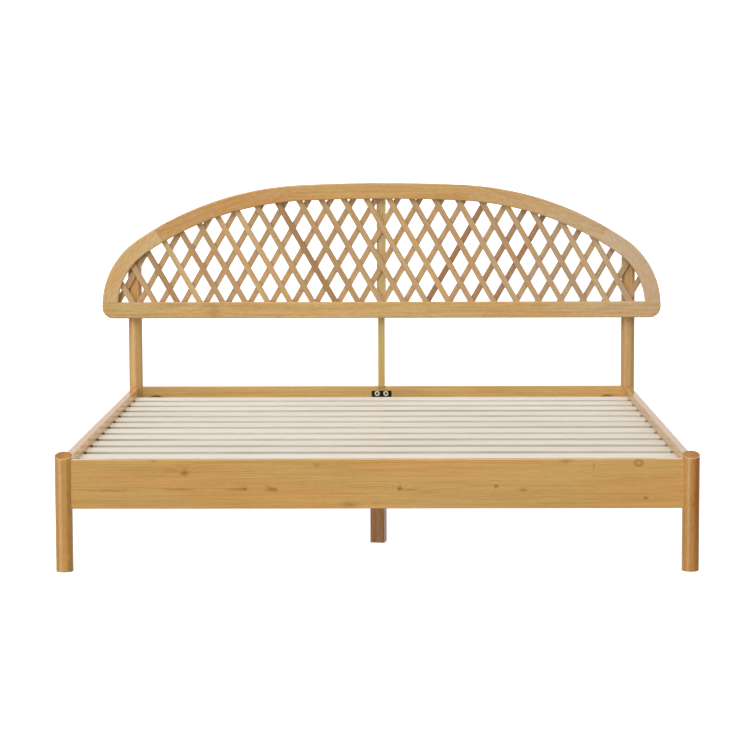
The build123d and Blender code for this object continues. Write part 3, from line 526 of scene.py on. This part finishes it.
# The headboard boards' rounded-over edges are darkened as painted shade of the round-over.
round_over_shade = 0.35
finish_board(
    "headboard_bottom_rail", (0.0, 0.0, math.radians(0.4)), (2.0, -0.93, -0.66),
    light=(0.72, 0.490, 0.195), dark=(0.50, 0.30, 0.098), ring_width=0.006, redness=0.6, flecks=0.16,
    marks=((-0.633, 0.63, 0.022, 0.045, 0.30, 0),), wear=round_over_shade,
    fade=(0.50, 0.95, (0.75, 0.530, 0.285), (0.54, 0.350, 0.165)),
)
finish_board(
    "arch_crown", sawn_on_slope(0.4), (5.0, -0.93, -1.12),
    light=(0.74, 0.470, 0.172), dark=(0.50, 0.275, 0.082), flecks=0.1, wear=round_over_shade,
)
finish_board(
    "arch_haunch_left", sawn_on_slope(18), (7.0, -0.94, -0.93),
    light=(0.73, 0.44, 0.165), dark=(0.47, 0.245, 0.070), flecks=0.12, wear=round_over_shade,
)
finish_board(
    "arch_haunch_right", sawn_on_slope(-18), (11.0, -0.94, -0.93),
    light=(0.74, 0.490, 0.224), dark=(0.505, 0.290, 0.104), redness=0.3, flecks=0.16, wear=round_over_shade,
    fade=(0.48, 0.82, (0.75, 0.540, 0.307), (0.515, 0.320, 0.143)),
)
for name, slope, start, light, dark in (
    ("arch_side_left", 52, 13.0, (0.77, 0.54, 0.26), (0.57, 0.37, 0.15)),
    ("arch_side_right", -52, 17.0, (0.74, 0.54, 0.34), (0.55, 0.37, 0.21)),
):
    finish_board(name, sawn_on_slope(slope), (start, -0.94, -1.1), light, dark, ring_width=0.003, figure=0.5,
                 flecks=0.22, wear=round_over_shade)
finish_board("arch_dowels", (0.0, 0.0, 0.0), (0.0, -1.0, -1.0), slat_light, slat_dark, figure=0.5)


# Lattice. Two layers of thin planed sticks with eased edges, which cross in a rebate behind the arch.
# The front layer leans to the left and the rear one to the right. Most are pale honey, some redder.
stick_width = 0.022
stick_thickness = 0.008
stick_ease = 0.0012
stick_lean = math.radians(30)
stick_foot_z = 0.663
palest_stick = 0.12
stick_variety = 0.30
log_size = (20.0, 0.12, 0.12)
field_inset = 0.0485
field_floor = 0.6515
half_width = 1.056
headboard_top = 1.111
spring_z = 0.645
shoulder_radius = 0.305

# The crown and haunch radii follow from the run and the fall of the arch as far as the shoulder, with
# each arc tangent to the next.
crown_turn = math.radians(2.8)
shoulder_turn = math.radians(34.2)
haunch_run = math.sin(shoulder_turn) - math.sin(crown_turn)
haunch_fall = math.cos(crown_turn) - math.cos(shoulder_turn)
crown_fall = 1 - math.cos(crown_turn)
arch_run = half_width - shoulder_radius * (1 - math.sin(shoulder_turn))
arch_fall = headboard_top - spring_z - shoulder_radius * math.cos(shoulder_turn)
arch_share = math.sin(crown_turn) * haunch_fall - haunch_run * crown_fall
crown_radius = (arch_run * haunch_fall - arch_fall * haunch_run) / arch_share
haunch_radius = (arch_fall * math.sin(crown_turn) - arch_run * crown_fall) / arch_share
haunch_x = (crown_radius - haunch_radius) * math.sin(crown_turn)
haunch_z = headboard_top - crown_radius * crown_fall - haunch_radius * math.cos(crown_turn)
arch_arcs = (
    (0.0, headboard_top - crown_radius, crown_radius - field_inset, crown_turn),
    (haunch_x, haunch_z, haunch_radius - field_inset, shoulder_turn),
    (half_width - shoulder_radius, spring_z, shoulder_radius - field_inset, math.pi / 2),
)


def room_in_field(x, z):
    """How far a point is inside the lattice field: the least of its depth under the arch, its height over the
    floor of the rebate and its distance from the ends. The arch is three tangent arcs either side."""
    x = np.abs(x)
    arch = np.zeros_like(x)
    for centre_x, centre_z, radius, last_turn in reversed(arch_arcs):
        height = centre_z + np.sqrt(np.clip(radius ** 2 - (x - centre_x) ** 2, 0, None))
        arch = np.where(x <= centre_x + radius * math.sin(last_turn), height, arch)
    return np.minimum(np.minimum(arch - z, z - field_floor), half_width - field_inset - x)


def stick_section():
    """A stick's cross-section: a rectangle whose four corners are rounded by a small quarter circle each, as
    places across the stick and through its thickness, going round once."""
    corner = np.repeat(np.arange(4), 3)
    angle = np.radians(np.tile([0.0, 45.0, 90.0], 4) + 90.0 * corner)
    half_across = stick_width / 2 - stick_ease
    half_through = stick_thickness / 2 - stick_ease
    across = np.array([1, -1, -1, 1])[corner] * half_across + stick_ease * np.cos(angle)
    through = np.array([1, 1, -1, -1])[corner] * half_through + stick_ease * np.sin(angle)
    return across, through


def lattice_layer(name, middle_y, lean, foot_places, reddish, seed):
    """A layer of sticks. Each corner of the section is drawn as a line along the stick from its foot, and
    runs from where it enters the field to where it leaves it, so that the ends follow the arch. The line is
    searched in steps of a millimetre. Each stick draws its depth of colour and its place in a log."""
    across, through = stick_section()
    corners = len(across)
    run = np.array([-math.sin(lean), math.cos(lean)])
    side = np.array([math.cos(lean), math.sin(lean)])
    start_x = foot_places[:, None] + across * side[0]
    start_z = stick_foot_z + across * side[1] + np.zeros((len(foot_places), 1))
    steps = np.linspace(-1.0, 1.4, 2401)
    room = room_in_field(start_x[..., None] + steps * run[0], start_z[..., None] + steps * run[1])
    inside = room > 0
    kept = inside.any(axis=(1, 2))
    first = np.clip(inside.argmax(axis=2), 1, None)
    last = np.clip(len(steps) - 1 - inside[..., ::-1].argmax(axis=2), None, len(steps) - 2)

    def crossing(before, after):
        """Where the room falls to nothing between two steps, by a straight line between them."""
        room_before = np.take_along_axis(room, before[..., None], 2)[..., 0]
        room_after = np.take_along_axis(room, after[..., None], 2)[..., 0]
        share = room_before / (room_before - room_after)
        return steps[before] + share * (steps[after] - steps[before])

    ends = np.stack([crossing(first - 1, first), crossing(last, last + 1)], axis=2)[kept]
    x = start_x[kept][..., None] + ends * run[0]
    z = start_z[kept][..., None] + ends * run[1]
    y = np.broadcast_to((middle_y + through)[None, :, None], x.shape)
    sticks = int(kept.sum())
    vertices = np.stack([x, y, z], axis=-1).reshape(-1, 3)
    corner = np.arange(corners)
    following = (corner + 1) % corners
    base = (np.arange(sticks) * corners * 2)[:, None, None]
    walls = np.stack([corner * 2, corner * 2 + 1, following * 2 + 1, following * 2], axis=1)
    walls = (base + walls).reshape(-1, 4)
    feet = (base[:, :, 0] + corner * 2)
    tops = (base[:, :, 0] + corner[::-1] * 2 + 1)
    mesh = bpy.data.meshes.new(name)
    mesh.from_pydata(vertices.tolist(), [], walls.tolist() + feet.tolist() + tops.tolist())
    draw = np.random.default_rng(seed)
    tone = palest_stick + stick_variety * draw.random(sticks)
    tone[list(reddish)] += list(reddish.values())
    offset = draw.random((sticks, 3)) * log_size
    along = np.broadcast_to(ends, x.shape)
    grain = np.stack([along, np.broadcast_to(across[None, :, None], x.shape), y - middle_y], axis=-1)
    grain = grain + offset[:, None, None, :]
    tones = np.broadcast_to(tone[:, None, None], x.shape)
    tone_layer = mesh.attributes.new("tone", "FLOAT", "POINT")
    tone_layer.data.foreach_set("value", tones.ravel().astype(np.float32))
    grain_layer = mesh.attributes.new("grain", "FLOAT_VECTOR", "POINT")
    grain_layer.data.foreach_set("vector", grain.ravel().astype(np.float32))
    mesh.update()
    layer = bpy.data.objects.new(name, mesh)
    bpy.context.scene.collection.objects.link(layer)
    return layer


stick_fade_start = 0.0
stick_fade_end = 0.8


def read_attribute(tree, name, output):
    """The value that the mesh holds at each point under a name."""
    node = tree.nodes.new("ShaderNodeAttribute")
    node.attribute_name = name
    return node.outputs[output]


def finish_sticks(name, light, dark, right_light, right_dark):
    """Oiled sticks, each of its own depth of colour, with the grain along the stick. Towards the right end
    of the headboard they have a second pair of colours."""
    material = bpy.data.materials.new(name)
    material.use_nodes = True
    tree = material.node_tree
    wood = read_attribute(tree, "grain", "Vector")
    tone = read_attribute(tree, "tone", "Fac")
    light = faded(tree, light, right_light, stick_fade_start, stick_fade_end)
    dark = faded(tree, dark, right_dark, stick_fade_start, stick_fade_end)
    wood_surface(material, wood, tone, light, dark, ring_width=0.004, figure=0.7, roughness=0.42, coat=0.6,
                 coat_roughness=0.2, redness=0.7)
    return material


front_count = 23
front_pitch = 0.0856
front_shift = -0.0026
front_layer_y = 1.002
rear_count = 24
rear_pitch = 0.08375
rear_shift = -0.0344
rear_layer_y = 1.010
front_feet = front_shift + front_pitch * (np.arange(front_count) - (front_count - 1) / 2)
rear_feet = rear_shift + rear_pitch * (np.arange(rear_count) - (rear_count - 1) / 2)
front_reddish = {2: 0.40, 4: 0.35, 9: 0.55, 10: 0.25}
rear_reddish = {14: 0.75, 16: 0.40, 17: 0.45}
front_sticks = lattice_layer("lattice_front", front_layer_y, stick_lean, front_feet, front_reddish, 11)
rear_sticks = lattice_layer("lattice_rear", rear_layer_y, -stick_lean, rear_feet, rear_reddish, 23)
front_sticks.data.materials.append(finish_sticks(
    "front_stick_finish", light=(0.69, 0.48, 0.235), dark=(0.40, 0.215, 0.090),
    right_light=(0.69, 0.51, 0.300), right_dark=(0.40, 0.232, 0.120),
))
rear_sticks.data.materials.append(finish_sticks(
    "rear_stick_finish", light=(0.66, 0.45, 0.225), dark=(0.38, 0.195, 0.085),
    right_light=(0.66, 0.48, 0.285), right_dark=(0.38, 0.212, 0.112),
))
for sticks, node in ((front_sticks, "lattice_front_sticks"), (rear_sticks, "lattice_rear_sticks")):
    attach(sticks, "root")
    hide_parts(node)


# Headboard support. A flat mullion up the back of the lattice, and a thin strut between the head rail
# and the headboard, both of honey timber, screwed from behind. The strut stands on a dowel.
finish_board("mullion", upright, (2.0, -1.0, 0.05), light=(0.74, 0.54, 0.24), dark=(0.52, 0.34, 0.12))
finish_board("strut", upright, (6.0, -1.0, 0.03), light=(0.66, 0.51, 0.205), dark=(0.50, 0.355, 0.115))
finish_board("strut_dowel", upright, (0.0, -1.0, 0.0), slat_light, slat_dark, figure=0.5)
finish_zinc(("mullion_screws", "headboard_screws", "headboard_bolts"))
insert_brass = (0.70, 0.50, 0.20)
finish_metal(("headboard_inserts",), insert_brass, metallic=1.0, roughness=0.32, grain=900.0, wear=0.08)


# Studio. A plain white floor, a large soft light from the front left, weaker ones from the right, one
# overhead, and an even white surround with a broad screen behind the bed and a narrow one in front.
# A strip beside the narrow screen shows only in shiny surfaces, as a pale line down each post.
floor_half = 40.0
floor_mesh = bpy.data.meshes.new("floor")
floor_corners = floor_half * np.array([[-1, -1, 0], [1, -1, 0], [1, 1, 0], [-1, 1, 0]], float)
floor_mesh.from_pydata(floor_corners.tolist(), [], [[0, 1, 2, 3]])
floor = bpy.data.objects.new("floor", floor_mesh)
bpy.context.scene.collection.objects.link(floor)
floor_material = bpy.data.materials.new("floor_finish")
floor_material.use_nodes = True
floor_shader = floor_material.node_tree.nodes["Principled BSDF"]
floor_shader.inputs["Base Color"].default_value = (0.86, 0.86, 0.86, 1.0)
floor_shader.inputs["Roughness"].default_value = 0.9
floor_shader.inputs["Specular IOR Level"].default_value = 0.0
floor_shader.inputs["Emission Color"].default_value = (1.0, 1.0, 1.0, 1.0)
floor_shader.inputs["Emission Strength"].default_value = 0.75
floor_mesh.materials.append(floor_material)
floor.visible_diffuse = False
floor.visible_glossy = False

for name, from_left, height, softness, power in (
    ("key_light", 24, 45, 35, 1.20), ("fill_light", -45, 20, 60, 0.22), ("top_light", 0, 78, 50, 0.88),
    ("rim_light", -105, 25, 40, 0.50),
):
    lamp = bpy.data.lights.new(name, "SUN")
    lamp.energy = power
    lamp.angle = math.radians(softness)
    lamp_object = bpy.data.objects.new(name, lamp)
    lamp_object.rotation_euler = (math.radians(90 - height), 0.0, math.radians(-from_left))
    bpy.context.scene.collection.objects.link(lamp_object)

surround = bpy.data.worlds.new("surround")
surround.use_nodes = True
bpy.context.scene.world = surround
surround_tree = surround.node_tree
surround_light = surround_tree.nodes["Background"]
surround_light.inputs["Color"].default_value = (1.0, 1.0, 1.0, 1.0)
look = surround_tree.nodes.new("ShaderNodeTexCoord").outputs["Generated"]


def screen(towards, outer, inner, power):
    """A white screen in the surround: the cosine between the way looked and the middle of the screen, with
    their heights left out, carried smoothly from the screen's edge to its full light."""
    flat = add_node(surround_tree, "VectorMath", {0: look, 1: (1.0, 1.0, 0.0)}, operation="MULTIPLY")
    flat = add_node(surround_tree, "VectorMath", {0: flat}, operation="NORMALIZE")
    cosine = surround_tree.nodes.new("ShaderNodeVectorMath")
    cosine.operation = "DOT_PRODUCT"
    cosine.inputs[1].default_value = (math.sin(math.radians(towards)), math.cos(math.radians(towards)), 0.0)
    surround_tree.links.new(flat, cosine.inputs[0])
    edge, middle = math.cos(math.radians(outer)), math.cos(math.radians(inner))
    return spread(surround_tree, cosine.outputs["Value"], edge, middle, 0.0, power)


# The screens fade out overhead and below, and the background that the camera sees is plain white.
surround_level = 0.26
front_screen_way = 180 + 39
strip_way = 180 + 51
look_parts = surround_tree.nodes.new("ShaderNodeSeparateXYZ")
surround_tree.links.new(look, look_parts.inputs[0])
steepness = maths(surround_tree, "ABSOLUTE", look_parts.outputs["Z"])
level_look = spread(surround_tree, steepness, 0.35, 0.8, 1.0, 0.0)
screens = maths(surround_tree, "ADD", screen(0, 75, 30, 0.7), screen(front_screen_way, 22, 10, 1.4))
strength = maths(surround_tree, "MULTIPLY_ADD", screens, level_look, surround_level)
path = surround_tree.nodes.new("ShaderNodeLightPath")
strip = maths(surround_tree, "MULTIPLY", screen(strip_way, 19, 8, 1.4), path.outputs["Is Glossy Ray"])
strength = maths(surround_tree, "ADD", strength, strip)
strength = maths(surround_tree, "ADD", strength, path.outputs["Is Camera Ray"])
surround_tree.links.new(strength, surround_light.inputs["Strength"])


# Camera. A long lens beyond the foot of the bed, a little higher than the top of the headboard, looking
# slightly down and a hair to the left.
camera_place = (0.0651, -8.3551, 1.3290)
image_side = 755
focal_pixels = 2476.74
sensor = 36.0
yaw, pitch, roll = (math.radians(angle) for angle in (0.491, 5.829, -0.152))
ahead = np.array([-math.sin(yaw) * math.cos(pitch), math.cos(yaw) * math.cos(pitch), -math.sin(pitch)])
level = np.array([math.cos(yaw), math.sin(yaw), 0.0])
overhead = np.cross(level, ahead)
camera_right = level * math.cos(roll) + overhead * math.sin(roll)
camera_up = overhead * math.cos(roll) - level * math.sin(roll)
lens = bpy.data.cameras.new("camera")
lens.sensor_width = sensor
lens.lens = focal_pixels / image_side * sensor
lens.clip_end = 200.0
camera = bpy.data.objects.new("camera", lens)
bpy.context.scene.collection.objects.link(camera)
placing = np.eye(4)
placing[:3, 0], placing[:3, 1], placing[:3, 2] = camera_right, camera_up, -ahead
placing[:3, 3] = camera_place
camera.matrix_world = Matrix(placing.tolist())
bpy.context.scene.camera = camera
bpy.context.scene.view_settings.view_transform = "Standard"
